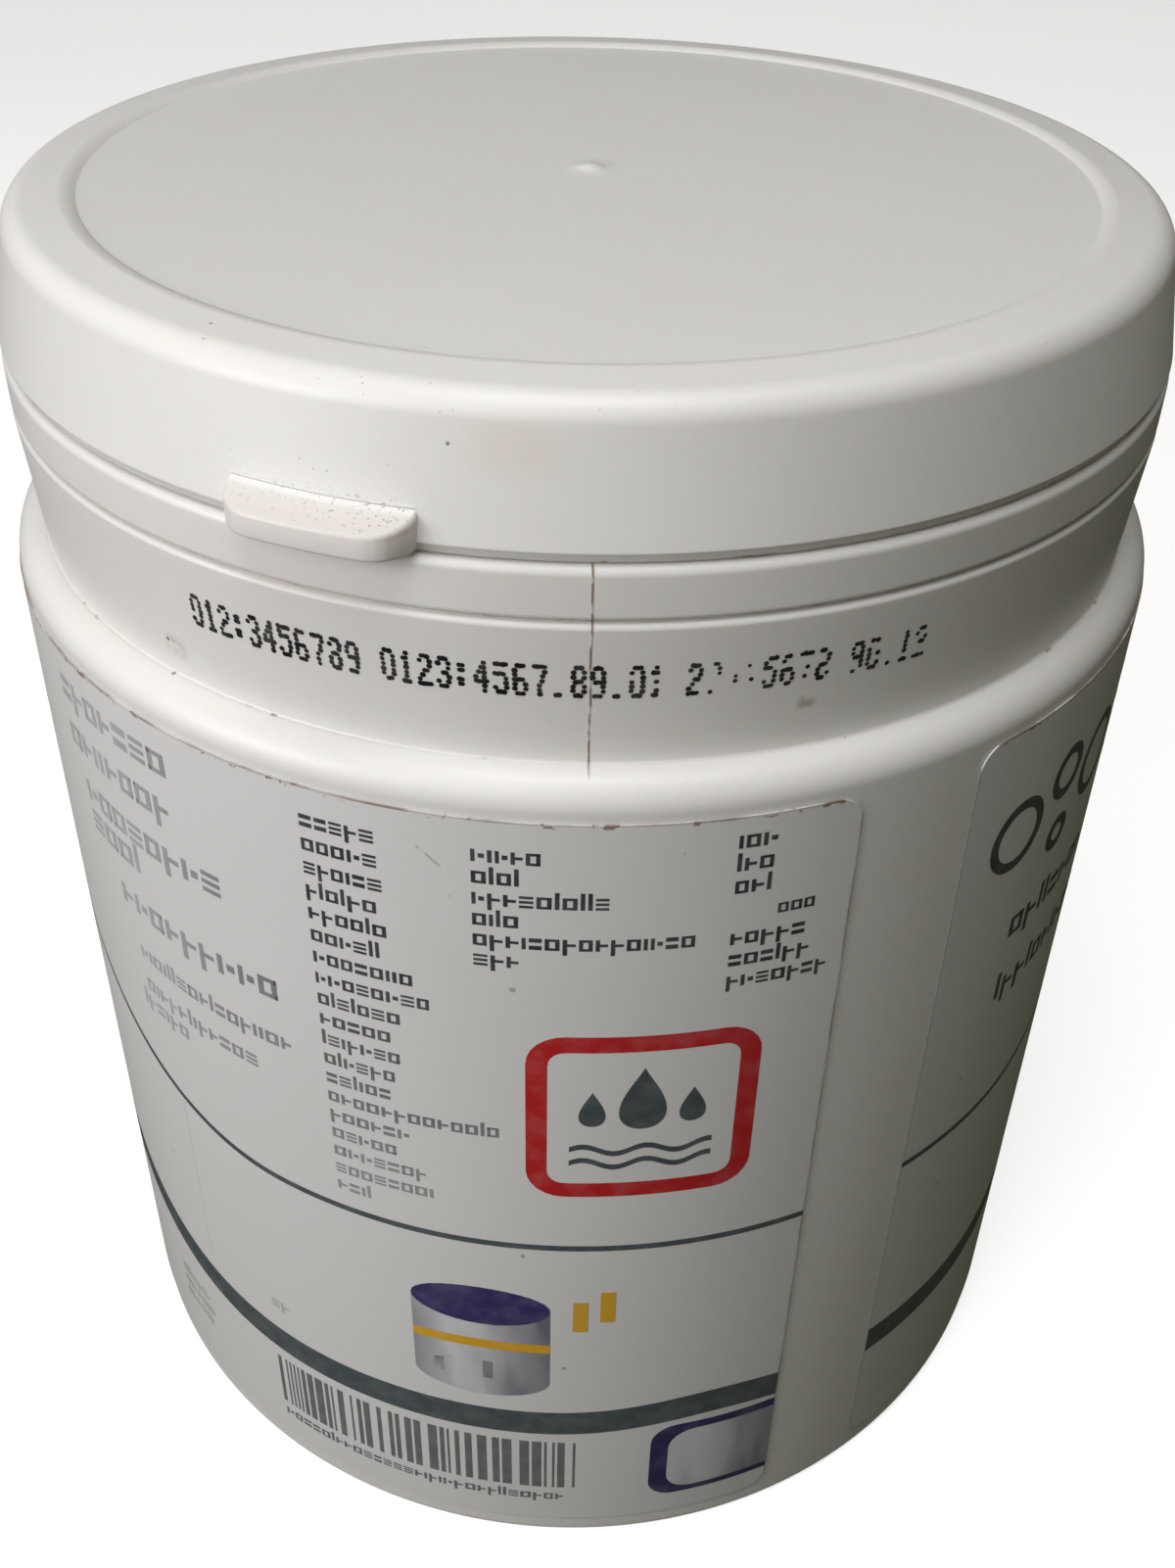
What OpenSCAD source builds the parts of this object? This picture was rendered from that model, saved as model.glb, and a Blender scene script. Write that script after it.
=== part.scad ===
// Round plastic tub of film-wrapped cleaning tablets, with a push-on lid and a
// wraparound label. Millimetres. The origin is the middle of the flat ring that the
// tub stands on, +Z is up, and the label's written side faces -Y.

/* [Wall and base] */
// Outer diameter of the straight wall
body_d = 130; // [115:1:160]
// Height of the straight wall, up to where the shoulder starts
body_h = 119.5; // [80:0.5:160]
// Thickness of the tub's wall
wall = 1.5; // [1:0.1:2]
// Thickness of the base
base_t = 2; // [1.2:0.1:4]
// Radius of the rounded corner round the base
foot_r = 3; // [1:0.5:5]
// Width of the flat ring that the tub stands on
foot_w = 5; // [3:0.5:10]
// How far the middle of the base stands above that ring
push_up = 1; // [0.5:0.1:2.5]

/* [Neck] */
// Radius of the rounded shoulder above the straight wall
shoulder_r = 3.3; // [2.5:0.1:5]
// Height of the lower neck band, from the shoulder to its top edge
lower_band_h = 14.9; // [10:0.1:25]
// Height of the upper neck band
upper_band_h = 5.4; // [4:0.1:12]
// How far the bands' top edges stand out from the creases between them
crease_depth = 1.1; // [0.5:0.1:1.5]
// Radius of the rounded top edge of each band
lip_r = 0.9; // [0.4:0.1:1.2]

/* [Mouth] */
// Height of the mouth's wall above the neck
mouth_h = 12.1; // [10:0.1:20]
// How far the mouth's outer face stands in from the neck's creases
mouth_step = 3.4; // [3:0.1:5]
// How far the snap bead round the mouth stands out
bead_out = 1.2; // [0.8:0.1:1.5]
// Height of the middle of the snap bead above the neck
bead_z = 4; // [3.5:0.1:6]

/* [Lid] */
// Thickness of the lid's skirt and panel
lid_t = 1.4; // [1:0.1:1.7]
// How far the lid's lower edge stands out from the neck's creases
lid_out = 1; // [0.5:0.1:2]
// How much the skirt's radius shrinks between its lower edge and the top corner
skirt_taper = 1.9; // [0.5:0.1:2.2]
// Radius of the rounded corner round the lid's top
lid_corner_r = 2.7; // [2:0.1:3.5]
// Radius of that corner on the inside
inner_corner_r = 1.8; // [1:0.1:2.1]
// Height of the sloping undercut below the skirt's edge
undercut_h = 1.1; // [0.5:0.1:1.5]
// How far the undercut slopes inwards
undercut_w = 0.7; // [0.3:0.1:1]
// Width of the ring round the sunken panel, from the corner inwards
land_w = 3.5; // [1.5:0.1:5]
// How much lower the ring's outer edge is than its inner edge
land_drop = 0.25; // [0:0.05:0.4]
// Depth of the sunken panel below the ring's inner edge
panel_depth = 0.45; // [0.2:0.05:1]
// Width of the rounded slope from the ring down to the panel
panel_slope_w = 1.6; // [1.1:0.1:3]
// Depth of the plug ring that reaches into the mouth
plug_h = 5; // [3.5:0.5:8]
// Diameter of the moulding mark in the middle of the panel
gate_d = 4; // [2:0.5:6]
// Height of the moulding mark
gate_h = 0.3; // [0.1:0.1:0.6]

/* [Finger tab] */
// Width of the tab along the lid's lower edge
tab_w = 17.6; // [12:0.2:25]
// How far the tab reaches out from the skirt's edge
tab_reach = 3.1; // [2:0.1:6]
// Thickness of the tab at its front edge
tab_t = 2.3; // [1.5:0.1:3]
// How much thicker the tab is where it meets the skirt
tab_rise = 0.8; // [0:0.1:1.5]
// Radius of the tab's two front corners
tab_corner_r = 4; // [1:0.1:5]
// Angle of the tab's middle, from the front towards the left
tab_angle = 20; // [0:1:90]

/* [Label] */
// Height of the label's lower edge
label_z = 4; // [3.5:0.5:10]
// Bare height of wall between the label's upper edge and the shoulder
label_margin = 0.9; // [0.3:0.1:20]
// Thickness of the label
label_t = 0.16; // [0.1:0.02:0.3]
// Thickness of the glue between the label and the wall
glue_t = 0.04; // [0.02:0.01:0.1]
// Angle from the front to the label's right-hand end
label_end = 24.2; // [0:0.1:60]
// Width of the bare gap between the label's two ends
label_gap = 14; // [4:0.5:60]
// Radius of the label's corners
label_corner_r = 3; // [1:0.1:6]

/* [Tablets] */
// Room above the tablets, up to the shoulder
head_room = 8.5; // [2:0.5:30]
// Size of the sloping edge round each tablet's ends
tablet_chamfer = 1.6; // [0.5:0.1:3]
// Room between the outer tablets and the tub's wall
tablet_clear = 1; // [0.4:0.1:3]
// Gap between neighbouring tablets
tablet_gap = 0.5; // [0.2:0.1:2]

/* [Fits] */
// Gap between the lid and the tub wherever they face each other
lid_clear = 0.3; // [0.25:0.05:0.6]

/* [Hidden] */
LAYERS = 3;
AROUND = 6;
TABLETS = LAYERS*(AROUND + 1);
function tablet_name(i) = str("tablet_", i < 10 ? "0" : "", i);
$fn = 96;

body_r = body_d/2;
in_r = body_r - wall;
floor_z = push_up + base_t;
foot_in = body_r - foot_r - foot_w;
floor_corner_r = foot_r/2;

// The neck's levels, and the radius of its creases and of its bands' top edges
ledge = 0.1;
crease_r = body_r - shoulder_r - ledge;
band_r = crease_r + crease_depth;
shoulder_z = body_h + shoulder_r;
middle_crease_z = shoulder_z + lower_band_h;
neck_z = middle_crease_z + upper_band_h;
neck_in = crease_r - wall;

// The mouth's wall, with its rounded top edge
mouth_r = crease_r - mouth_step;
mouth_in = mouth_r - wall;
mouth_z = neck_z + mouth_h;
mouth_edge_r = 0.45*wall;
bead_root = bead_out + 0.6;

// The lid's lower edge is a clearance above the neck, and its land above the mouth
rim_z = neck_z + lid_clear;
rim_r = crease_r + lid_out;
skirt_z = rim_z + undercut_h;
land_under_z = mouth_z + lid_clear;
land_z = land_under_z + lid_t;
corner_r = rim_r - skirt_taper;

// The corner is an arc that goes on from the sloping land, and the skirt from the arc
land_lean = atan(land_drop/land_w);
corner_mid = corner_r - lid_corner_r;
corner_z = land_z - land_drop - lid_corner_r*cos(land_lean);
skirt_lean = acos(lid_corner_r/norm([rim_r - corner_mid, skirt_z - corner_z]))
    + atan2(skirt_z - corner_z, rim_r - corner_mid);

// The slope down to the panel is level where it leaves the land
land_in = corner_mid + lid_corner_r*sin(land_lean) - land_w;
slope_r = (pow(panel_slope_w, 2) + pow(panel_depth, 2))/(2*panel_depth);
slope_lean = asin(panel_slope_w/slope_r);
panel_z = land_z - panel_depth;
panel_under_z = panel_z - lid_t;

// The catch inside the skirt passes the snap bead, and the plug ring the mouth
catch_in = mouth_r + bead_out + lid_clear;
catch_z = skirt_z + 0.4;
skirt_in_z = catch_z + 1;
plug_r = mouth_in - lid_clear;
plug_in = plug_r - lid_t;
plug_z = land_under_z - plug_h;
plug_lead = 0.6;
plug_lead_h = 2;

label_h = body_h - label_margin - label_z;
label_gap_angle = 2*asin(label_gap/body_d);
cut_over = 0.02;
cut_lead = 6;

// One tablet in the middle and a ring of tablets round it fill the tub's width
tablet_h = (body_h - floor_z - head_room)/LAYERS;
tablet_r = (in_r - tablet_clear - tablet_gap)/3;
ring_r = 2*tablet_r + tablet_gap;

// Points along an arc about (cx, cz), from angle a0 to a1, in n steps
function arc(cx, cz, r, a0, a1, n = 10) =
    [for (i = [0:n]) let (a = a0 + (a1 - a0)*i/n) [cx + r*cos(a), cz + r*sin(a)]];

// Outer outline of the tub, from the middle of the base up to the neck
function outer_outline() = concat(
    [[0, push_up], [foot_in - push_up, push_up], [foot_in, 0]],
    arc(body_r - foot_r, foot_r, foot_r, -90, 0),
    arc(body_r - shoulder_r, body_h, shoulder_r, 0, 90),
    [[crease_r, shoulder_z]],
    arc(band_r - lip_r, middle_crease_z - lip_r, lip_r, 0, 80),
    [[crease_r, middle_crease_z], [crease_r, middle_crease_z + 0.3*lip_r]],
    [[band_r - crease_depth/3, middle_crease_z + lip_r]],
    arc(band_r - lip_r, neck_z - lip_r, lip_r, 0, 90));

// Outline of the mouth, up its outer face, round its top edge and down the inside
function mouth_outline() = concat(
    [[mouth_r, neck_z], [mouth_r, neck_z + bead_z - bead_root]],
    arc(mouth_r, neck_z + bead_z, bead_out, -60, 60),
    [[mouth_r, neck_z + bead_z + bead_root]],
    arc(mouth_r - mouth_edge_r, mouth_z - mouth_edge_r, mouth_edge_r, 0, 90, 6),
    arc(mouth_in + mouth_edge_r, mouth_z - mouth_edge_r, mouth_edge_r, 90, 180, 6));

// Inner outline of the tub, from the mouth down to the middle of the floor
function inner_outline() = concat(
    [[mouth_in, neck_z - wall], [neck_in, neck_z - wall], [neck_in, shoulder_z - wall]],
    arc(body_r - shoulder_r, body_h, shoulder_r - wall, 90, 0),
    arc(in_r - floor_corner_r, floor_z + floor_corner_r, floor_corner_r, 0, -90),
    [[0, floor_z]]);

module jar() {
    color([0.93, 0.92, 0.9])
        rotate_extrude() polygon(concat(outer_outline(), mouth_outline(), inner_outline()));
}

// Outline of the lid: up the skirt, over the land to the sunken panel, and back
// along the underside, round the plug ring and down to the catch
function lid_outline() = concat(
    [[catch_in, rim_z], [rim_r - undercut_w, rim_z], [rim_r, skirt_z]],
    arc(corner_mid, corner_z, lid_corner_r, skirt_lean, 90 - land_lean),
    arc(land_in, land_z - slope_r, slope_r, 90, 90 + slope_lean, 6),
    [[0, panel_z]],
    [[0, panel_under_z], [plug_in, panel_under_z], [plug_in, plug_z]],
    [[plug_r - plug_lead, plug_z], [plug_r, plug_z + plug_lead_h], [plug_r, land_under_z]],
    arc(corner_r - lid_t - inner_corner_r, land_under_z - inner_corner_r,
        inner_corner_r, 90, 0),
    [[rim_r - lid_t, skirt_in_z], [catch_in, catch_z]]);

// The tab from above, reaching out towards -Y
module tab_outline() {
    reach = rim_r + tab_reach;
    difference() {
        translate([-tab_w/2, -reach]) square([tab_w, reach]);
        for (side = [0, 1])
            mirror([side, 0]) translate([tab_w/2 - tab_corner_r, tab_corner_r - reach])
                difference() {
                    translate([0, -tab_corner_r]) square(tab_corner_r);
                    circle(r = tab_corner_r);
                }
    }
}

// Section of the tab, from the middle of the skirt's wall outwards
function tab_section() = [
    [rim_r - undercut_w - lid_t/2, rim_z], [rim_r + tab_reach, rim_z],
    [rim_r + tab_reach, rim_z + tab_t], [rim_r, rim_z + tab_t + tab_rise],
    [rim_r - undercut_w - lid_t/2, rim_z + tab_t + tab_rise]];

module finger_tab() {
    rotate([0, 0, -tab_angle])
        intersection() {
            linear_extrude(2*rim_z) tab_outline();
            rotate_extrude() polygon(tab_section());
        }
}

module lid() {
    color([0.95, 0.94, 0.93]) {
        rotate_extrude() polygon(lid_outline());
        finger_tab();
        translate([0, 0, panel_z - lid_t/2]) cylinder(h = lid_t/2 + gate_h, d = gate_d);
    }
}

// What rounding takes off the label's lower right corner, seen from outside. The arc
// stops a few degrees short of the two edges, so that the cut crosses them.
function corner_offcut() = concat(
    [[-label_corner_r, -cut_over], [cut_over, -cut_over], [cut_over, label_corner_r]],
    arc(-label_corner_r, label_corner_r, label_corner_r, -cut_lead, cut_lead - 90, 6));

// The same at the label's right or left end, and at its upper or lower edge
module corner_cut(left, upper) {
    rotate([90, 0, label_end + left*label_gap_angle])
        translate([0, label_z + upper*label_h, 0]) linear_extrude(body_d)
            mirror([left, 0]) mirror([0, upper]) polygon(corner_offcut());
}

// The label is a thin band that goes round the wall, apart from the bare gap
module label() {
    color([0.86, 0.87, 0.89])
        difference() {
            rotate([0, 0, label_end + label_gap_angle - 90])
                rotate_extrude(angle = 360 - label_gap_angle)
                    translate([body_r + glue_t, label_z]) square([label_t, label_h]);
            for (left = [0, 1], upper = [0, 1]) corner_cut(left, upper);
        }
}

// Tablets are numbered from the bottom layer up, with the middle one of each layer first
module tablet(i) {
    layer = floor((i - 1)/(AROUND + 1));
    place = (i - 1)%(AROUND + 1);
    edge = tablet_chamfer;
    color([0.72, 0.73, 0.76])
        rotate([0, 0, 360/AROUND*place])
            translate([0, place == 0 ? 0 : -ring_r, floor_z + layer*tablet_h])
                rotate_extrude()
                    polygon([[0, 0], [tablet_r - edge, 0], [tablet_r, edge],
                             [tablet_r, tablet_h - edge], [tablet_r - edge, tablet_h],
                             [0, tablet_h]]);
}

jar();
lid();
label();
for (i = [1:TABLETS]) tablet(i);
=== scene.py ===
"""Looks of a round plastic tub of wrapped cleaning tablets, with a push-on lid and a
printed wraparound label.

Lengths are written in millimetres and turned into metres as each piece is finished.
Angles round the tub are in degrees from the front, towards the right."""

import math
import random

import bmesh
import bpy
from mathutils import Matrix, Vector


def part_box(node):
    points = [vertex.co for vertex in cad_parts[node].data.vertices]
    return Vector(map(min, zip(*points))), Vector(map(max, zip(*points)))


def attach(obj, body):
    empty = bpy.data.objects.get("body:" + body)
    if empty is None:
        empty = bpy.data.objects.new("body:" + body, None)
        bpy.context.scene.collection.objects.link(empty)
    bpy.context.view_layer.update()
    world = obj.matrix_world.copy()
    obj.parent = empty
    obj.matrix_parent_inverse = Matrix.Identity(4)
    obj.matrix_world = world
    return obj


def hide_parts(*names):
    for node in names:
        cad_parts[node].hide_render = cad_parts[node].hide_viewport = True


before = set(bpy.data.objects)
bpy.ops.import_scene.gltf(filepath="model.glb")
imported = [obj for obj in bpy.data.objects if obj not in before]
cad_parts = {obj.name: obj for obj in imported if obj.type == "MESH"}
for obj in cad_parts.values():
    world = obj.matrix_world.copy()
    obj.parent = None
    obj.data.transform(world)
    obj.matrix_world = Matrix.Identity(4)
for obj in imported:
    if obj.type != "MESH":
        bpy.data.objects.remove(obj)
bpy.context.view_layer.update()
MM = 0.001

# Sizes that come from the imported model
BODY_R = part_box("jar")[1].x / MM
MOUTH_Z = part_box("jar")[1].z / MM
LAND_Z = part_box("lid")[1].z / MM
RIM_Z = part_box("lid")[0].z / MM
LABEL_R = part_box("label")[1].x / MM
LABEL_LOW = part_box("label")[0].z / MM
LABEL_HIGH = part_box("label")[1].z / MM
TABLET_NODES = sorted(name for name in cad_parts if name.startswith("tablet"))

# Tub
WALL = 1.5
BASE_T = 2.0
FOOT_R = 1.6
FOOT_W = 6.4
PUSH_UP = 1.0
SHOULDER_R = 3.3
BODY_H = 119.5
LOWER_BAND_H = 14.9
UPPER_BAND_H = 5.4
CREASE_DEPTH = 1.1
LEDGE = 0.1
LIP_R = 0.9
SHARP_LIP_R = 0.55
CREASE_H = 0.85
CREASE_R = BODY_R - SHOULDER_R - LEDGE
BAND_R = CREASE_R + CREASE_DEPTH
SHOULDER_Z = BODY_H + SHOULDER_R
MIDDLE_CREASE_Z = SHOULDER_Z + LOWER_BAND_H
NECK_Z = MIDDLE_CREASE_Z + UPPER_BAND_H
MOUTH_R = CREASE_R - 3.4
MOUTH_IN = MOUTH_R - WALL
BEAD_OUT = 1.2
BEAD_Z = NECK_Z + 4.0

# Lid
LID_T = 1.4
LID_CLEAR = 0.3
RIM_R = CREASE_R + 1.0
UNDERCUT_H = 0.95
UNDERCUT_W = 0.4
SKIRT_Z = RIM_Z + UNDERCUT_H
LID_CORNER_R = 2.7
INNER_CORNER_R = 1.8
CORNER_R = RIM_R - 1.9
LAND_W = 3.5
LAND_DROP = 0.25
LAND_LEAN = math.degrees(math.atan(LAND_DROP / LAND_W))
CORNER_MID = CORNER_R - LID_CORNER_R
CORNER_Z = LAND_Z - LAND_DROP - LID_CORNER_R * math.cos(math.radians(LAND_LEAN))
LAND_IN = CORNER_MID + LID_CORNER_R * math.sin(math.radians(LAND_LEAN)) - LAND_W
PANEL_DEPTH = 0.45
PANEL_Z = LAND_Z - PANEL_DEPTH
SLOPE_W = 1.6
SLOPE_R = (SLOPE_W ** 2 + PANEL_DEPTH ** 2) / (2 * PANEL_DEPTH)
SLOPE_LEAN = math.degrees(math.asin(SLOPE_W / SLOPE_R))
TAB_W = 17.6
TAB_REACH = 3.1
TAB_T = 2.4
TAB_RISE = 0.8
TAB_EDGE_R = 0.4
TAB_CORNER_R = 4.0
TAB_ANGLE = -20.0
TAB_ROOT_Z = RIM_Z + TAB_T + TAB_RISE + 0.5

# Label
LABEL_END = 24.2
LABEL_GAP = 2 * math.degrees(math.asin(7.0 / BODY_R))
LABEL_START = LABEL_END + LABEL_GAP
LABEL_T = 0.16
LABEL_CORNER = 3.0
PRINT_LIFT = 0.02

# Azimuth and height of the dark dot on the label
DOT_MARK = (-4.8, 98.2)

SPIN_STEPS = 256


def arc(cx, cz, radius, first, last, steps=12):
    """Points along an arc, from one angle in degrees to another"""
    angles = [math.radians(first + (last - first) * i / steps) for i in range(steps + 1)]
    return [(cx + radius * math.cos(a), cz + radius * math.sin(a)) for a in angles]


def around(radius, azimuth, z):
    """Point at a height on a round wall"""
    a = math.radians(azimuth)
    return Vector((radius * math.sin(a), -radius * math.cos(a), z))


def rungs(start, end, rises):
    """Points on a straight stretch of an outline at heights above its start"""
    slope = (end[0] - start[0]) / (end[1] - start[1])
    return [(start[0] + slope * rise, start[1] + rise) for rise in rises]


def braced(outline, brace=0.12):
    """The outline with a point close to each end of its long stretches, for even shading"""
    points = [outline[0]]
    for (r0, z0), (r1, z1) in zip(outline, outline[1:]):
        length = math.hypot(r1 - r0, z1 - z0)
        if length > 6 * brace:
            for share in (brace / length, 1 - brace / length):
                points.append((r0 + (r1 - r0) * share, z0 + (z1 - z0) * share))
        points.append((r1, z1))
    return points


def spun(outline, steps=SPIN_STEPS):
    """A closed round shape from its outline in radius and height"""
    bm = bmesh.new()
    ring = [bm.verts.new((r, 0, z)) for r, z in outline]
    edges = [bm.edges.new(pair) for pair in zip(ring, ring[1:])]
    bmesh.ops.spin(bm, geom=ring + edges, cent=(0, 0, 0), axis=(0, 0, 1), dvec=(0, 0, 0),
                   angle=math.tau, steps=steps, use_merge=True)
    bmesh.ops.remove_doubles(bm, verts=bm.verts, dist=1e-4)
    bmesh.ops.recalc_face_normals(bm, faces=bm.faces)
    return bm


def shade(bm, sharp_angle=40):
    """Smooth faces, with sharp edges where the surface turns by more than an angle"""
    for face in bm.faces:
        face.smooth = True
    for edge in bm.edges:
        edge.smooth = edge.calc_face_angle(math.pi) < math.radians(sharp_angle)


def finished(bm, name, body, material, nodes=()):
    """Turns a shape in millimetres into a piece of the model that rides on a body"""
    shade(bm)
    bmesh.ops.scale(bm, vec=(MM, MM, MM), verts=bm.verts)
    mesh = bpy.data.meshes.new(name)
    bm.to_mesh(mesh)
    bm.free()
    piece = bpy.data.objects.new(name, mesh)
    bpy.context.scene.collection.objects.link(piece)
    mesh.materials.append(material)
    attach(piece, body)
    if nodes:
        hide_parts(*nodes)
    return piece


class Value:
    """A number in a material, so that shader maths is written as Python expressions"""

    def __init__(self, shader, socket):
        self.shader = shader
        self.socket = socket

    def maths(self, operation, *others, first=None):
        terms = [self.socket if first is None else first]
        terms += [o.socket if isinstance(o, Value) else o for o in others]
        if first is not None:
            terms = [first, self.socket]
        node = self.shader.node("ShaderNodeMath", {"operation": operation}, dict(enumerate(terms)))
        return Value(self.shader, node.outputs[0])

    def __add__(self, other):
        return self.maths("ADD", other)

    def __sub__(self, other):
        return self.maths("SUBTRACT", other)

    def __rsub__(self, other):
        return self.maths("SUBTRACT", first=other)

    def __mul__(self, other):
        return self.maths("MULTIPLY", other)

    def __truediv__(self, other):
        return self.maths("DIVIDE", other)

    def __neg__(self):
        return self.maths("MULTIPLY", -1.0)

    __radd__ = __add__
    __rmul__ = __mul__

    def __abs__(self):
        return self.maths("ABSOLUTE")

    def power(self, other):
        return self.maths("POWER", other)

    def most(self, other):
        return self.maths("MAXIMUM", other)

    def least(self, other):
        return self.maths("MINIMUM", other)

    def ramp(self, low, high):
        """0 below one value and 1 above another, with a soft change between them"""
        node = self.shader.node(
            "ShaderNodeMapRange", {"interpolation_type": "SMOOTHSTEP"},
            {"Value": self.socket, "From Min": low, "From Max": high})
        return Value(self.shader, node.outputs["Result"])


class Shader:
    """A material with one Principled shader and the node makers that its patterns use"""

    def __init__(self, name):
        self.material = bpy.data.materials.new(name)
        self.material.use_nodes = True
        self.tree = self.material.node_tree
        self.surface = self.tree.nodes["Principled BSDF"]

    def node(self, kind, settings=None, inputs=None):
        """A node, with its settings made first and then its sockets' values or links"""
        made = self.tree.nodes.new(kind)
        for key, setting in (settings or {}).items():
            setattr(made, key, setting)
        for key, given in (inputs or {}).items():
            socket = given.socket if isinstance(given, Value) else given
            if isinstance(socket, bpy.types.NodeSocket):
                self.tree.links.new(socket, made.inputs[key])
            else:
                made.inputs[key].default_value = socket
        return made

    def place(self):
        """The point on the piece, in metres"""
        return self.node("ShaderNodeTexCoord").outputs["Object"]

    def axes(self):
        """The point's azimuth in degrees, distance from the axis and height, in mm"""
        parts = self.node("ShaderNodeSeparateXYZ", None, {"Vector": self.place()}).outputs
        x, y, z = (Value(self, part) for part in parts)
        azimuth = x.maths("ARCTAN2", -y) * math.degrees(1)
        radius = (x * x + y * y).power(0.5) * (1 / MM)
        return azimuth, radius, z * (1 / MM)

    def noise(self, scale, detail=3.0, stretch=None, roughness=0.5):
        """Noise whose scale is in waves per metre, stretched along the axes if asked"""
        place = self.place()
        if stretch:
            place = self.node("ShaderNodeMapping", None,
                              {"Vector": place, "Scale": stretch}).outputs[0]
        made = self.node("ShaderNodeTexNoise", None, {
            "Vector": place, "Scale": scale, "Detail": detail, "Roughness": roughness})
        return Value(self, made.outputs["Fac"])

    def specks(self, pitch, size, share):
        """Small round specks: one cell in a few holds one, size and pitch in mm"""
        cells = self.node("ShaderNodeTexVoronoi", {"feature": "F1"}, {
            "Vector": self.place(), "Scale": 1 / (pitch * MM)})
        parts = self.node("ShaderNodeSeparateColor", None, {"Color": cells.outputs["Color"]})
        chosen = Value(self, parts.outputs[0]).maths("LESS_THAN", share)
        own_size = Value(self, parts.outputs[1]) * (size / pitch) + 0.3 * size / pitch
        away = Value(self, cells.outputs["Distance"])
        return (1 - (away / own_size).ramp(0.6, 1.0)) * chosen

    def mix(self, factor, first, second):
        """One colour turning into another"""
        made = self.node("ShaderNodeMix", {"data_type": "RGBA"}, {0: factor})
        for key, colour in ((6, first), (7, second)):
            if isinstance(colour, bpy.types.NodeSocket):
                self.tree.links.new(colour, made.inputs[key])
            else:
                made.inputs[key].default_value = (*colour, 1.0)
        return made.outputs[2]

    def bump(self, height, distance, strength=1.0):
        """A relief of a height in mm"""
        made = self.node("ShaderNodeBump", None, {
            "Height": height, "Distance": distance * MM, "Strength": strength})
        self.tree.links.new(made.outputs[0], self.surface.inputs["Normal"])

    def set(self, **sockets):
        """Values or links of the shader's own sockets, with _ for a space"""
        for key, given in sockets.items():
            socket = self.surface.inputs[key.replace("_", " ")]
            given = given.socket if isinstance(given, Value) else given
            if isinstance(given, bpy.types.NodeSocket):
                self.tree.links.new(given, socket)
            elif isinstance(given, tuple):
                socket.default_value = (*given, 1.0)
            else:
                socket.default_value = given
        return self.material


def rgb(red, green, blue):
    """A colour as a screen shows it, from 0 to 255, as shader values"""
    return tuple(((c / 255 + 0.055) / 1.055) ** 2.4 for c in (red, green, blue))


WHITE_PLASTIC = rgb(240, 238, 236)
DUSTY_PLASTIC = rgb(226, 221, 213)
BROWN_DUST = rgb(120, 88, 66)
DARK_SPECK = rgb(60, 52, 46)


def near(value, middle, half_width, soft):
    """1 within a half width of a middle value, fading out over a soft edge"""
    return 1 - abs(value - middle).ramp(half_width, half_width + soft)


def tub_plastic():
    """White moulded plastic with dirt in the neck's creases and along the parting line"""
    s = Shader("tub_plastic")
    azimuth, radius, height = s.axes()
    mottle = s.noise(60, 4)
    grain = s.noise(1400, 2)
    fine = s.noise(700, 3)
    on_neck = height.ramp(SHOULDER_Z - 0.6, SHOULDER_Z + 0.2)
    wander = (s.noise(160, 2) - 0.5) * 0.5
    seam = near(abs(azimuth + wander - 1.2), 0, 0.05, 0.10)
    back_seam = 1 - (180 - abs(azimuth + wander - 1.2)).ramp(0.05, 0.15)
    seam = seam.most(back_seam) * on_neck
    seam_dirt = seam * (fine.ramp(0.35, 0.50) * 0.7 + 0.3)
    crease_dirt = near(height, MIDDLE_CREASE_Z + 0.08, 0.06, 0.10).most(
        near(height, SHOULDER_Z + 0.04, 0.04, 0.08))
    crumbs = s.noise(320, 3).ramp(0.56, 0.66) * fine.ramp(0.48, 0.58)
    in_crease = 1 - radius.ramp(CREASE_R + 0.2, CREASE_R + 0.45)
    crease_dirt = crease_dirt * (crumbs * 0.7 + 0.06) * in_crease * on_neck
    specks = s.specks(3.2, 0.24, 0.10) * on_neck
    on_shoulder = height.ramp(BODY_H, BODY_H + 1) * (1 - on_neck)
    specks = specks.most(s.specks(1.6, 0.22, 0.16) * on_shoulder * near(azimuth, -5, 25, 20))
    smudge = (near(azimuth, -37.3, 0.4, 1.4) * near(height, 126.2, 0.4, 1.2) * 0.35).most(
        near(azimuth, 19.2, 0.2, 1.0) * near(height, 127.9, 0.2, 0.8) * 0.5)
    colour = s.mix(mottle * 0.5, WHITE_PLASTIC, DUSTY_PLASTIC)
    colour = s.mix(smudge * fine.ramp(0.3, 0.6), colour, BROWN_DUST)
    colour = s.mix((seam_dirt * 0.8).most(crease_dirt), colour, BROWN_DUST)
    colour = s.mix(specks * 0.8, colour, DARK_SPECK)
    s.bump(grain * 0.05 + seam * 0.6, 0.12, 0.5)
    return s.set(Base_Color=colour, Roughness=mottle * 0.12 + 0.34,
                 Subsurface_Weight=0.12, Subsurface_Scale=0.004)


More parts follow.
